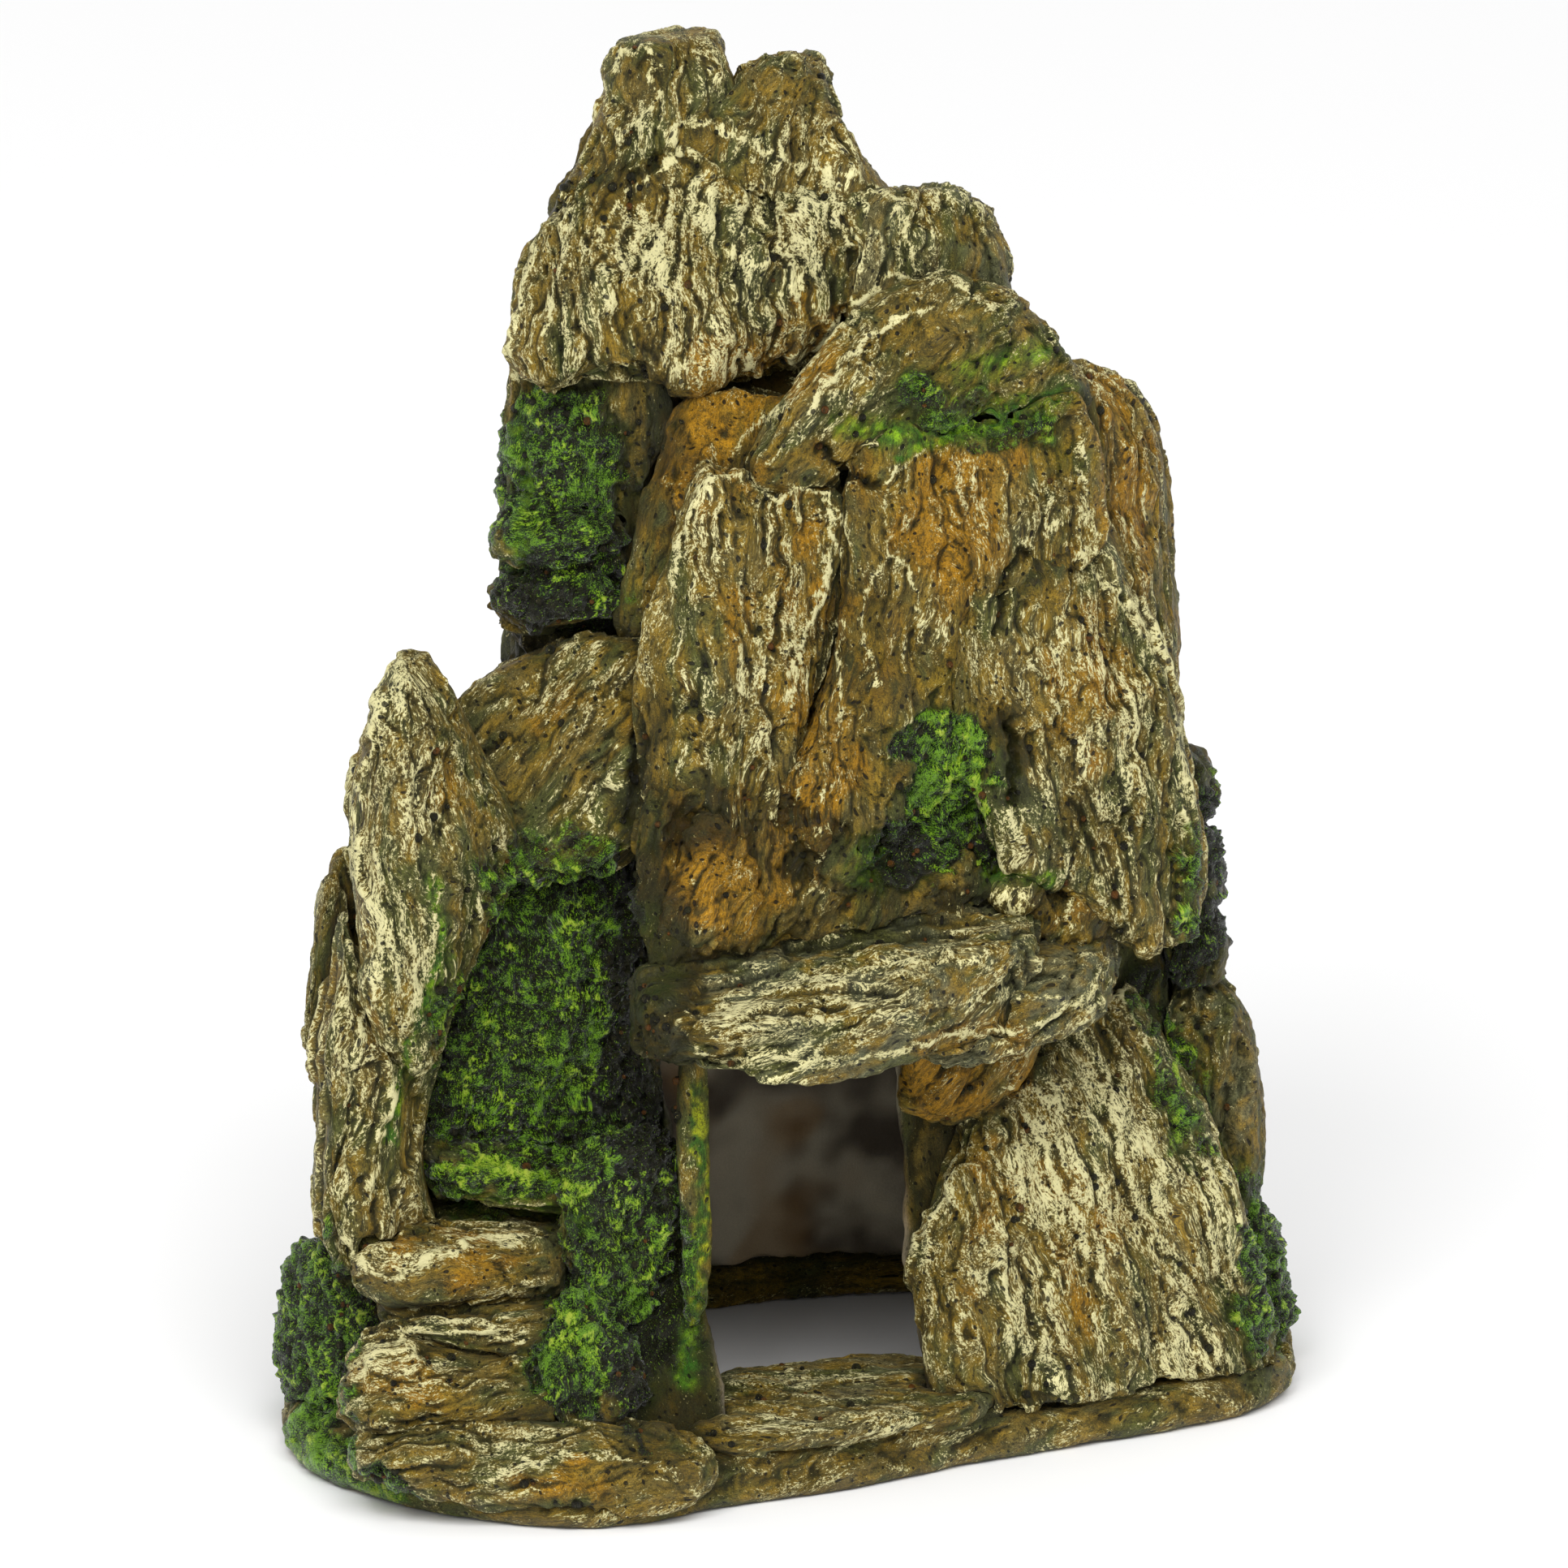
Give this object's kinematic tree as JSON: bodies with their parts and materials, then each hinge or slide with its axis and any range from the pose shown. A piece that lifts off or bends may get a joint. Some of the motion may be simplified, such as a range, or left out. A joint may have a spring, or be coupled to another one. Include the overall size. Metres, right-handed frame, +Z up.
{
  "type": "aquarium cave ornament",
  "caption": "Hollow resin rock cave for an aquarium: slate-like slabs, mossy steps and a lintel over a doorway, bonded around a thin open-bottomed core",
  "frame": {"origin": "middle of the overall box, on the ground plane the plinth stands on", "axes": "+Z up, -Y out of the front with the doorway, +X to the right seen from the front"},
  "size_m": [0.1492, 0.0878, 0.1956],
  "materials": {
    "slate_paint": "satin",
    "moss_paint": "satin",
    "core_wash": "satin"
  },
  "bodies": {
    "root": {"plinth_ring": "slate_paint", "cave_core": "core_wash", "core_hood": "core_wash", "lintel_slab": "slate_paint", "lintel_flake": "slate_paint", "door_fin": "slate_paint", "sill_slab": "slate_paint", "corbel_stone": "slate_paint", "door_boulder": "slate_paint", "base_stone": "slate_paint", "moss_mound": "moss_paint", "step_lower": "slate_paint", "step_lower_cap": "slate_paint", "step_middle": "slate_paint", "step_upper": "slate_paint", "menhir": "slate_paint", "menhir_leg": "slate_paint", "menhir_back_flake": "slate_paint", "saddle_slab": "slate_paint", "moss_panel": "moss_paint", "gully_wall": "moss_paint", "face_foot_knobs": "slate_paint", "face_slab": "slate_paint", "face_wedge": "slate_paint", "face_right_slab": "slate_paint", "ledge_slab": "slate_paint", "moss_patch": "moss_paint", "face_apron": "slate_paint", "neck_slab": "slate_paint", "dome_slab": "slate_paint", "shoulder_column": "slate_paint", "column_ledges": "moss_paint", "column_upper": "slate_paint", "column_foot": "slate_paint", "summit_brow": "slate_paint", "summit_horn_left": "slate_paint", "summit_horn_right": "slate_paint", "summit_shoulder": "slate_paint", "summit_rear_flake": "slate_paint", "rear_boulder": "slate_paint", "moss_clump_right": "moss_paint", "moss_tuft_right": "moss_paint", "moss_apron_left": "moss_paint", "back_slab_left": "slate_paint", "back_slab_middle": "slate_paint", "back_slab_right": "slate_paint", "back_slab_upper": "slate_paint", "back_foot_stones": "slate_paint"}
  },
  "joints": []
}
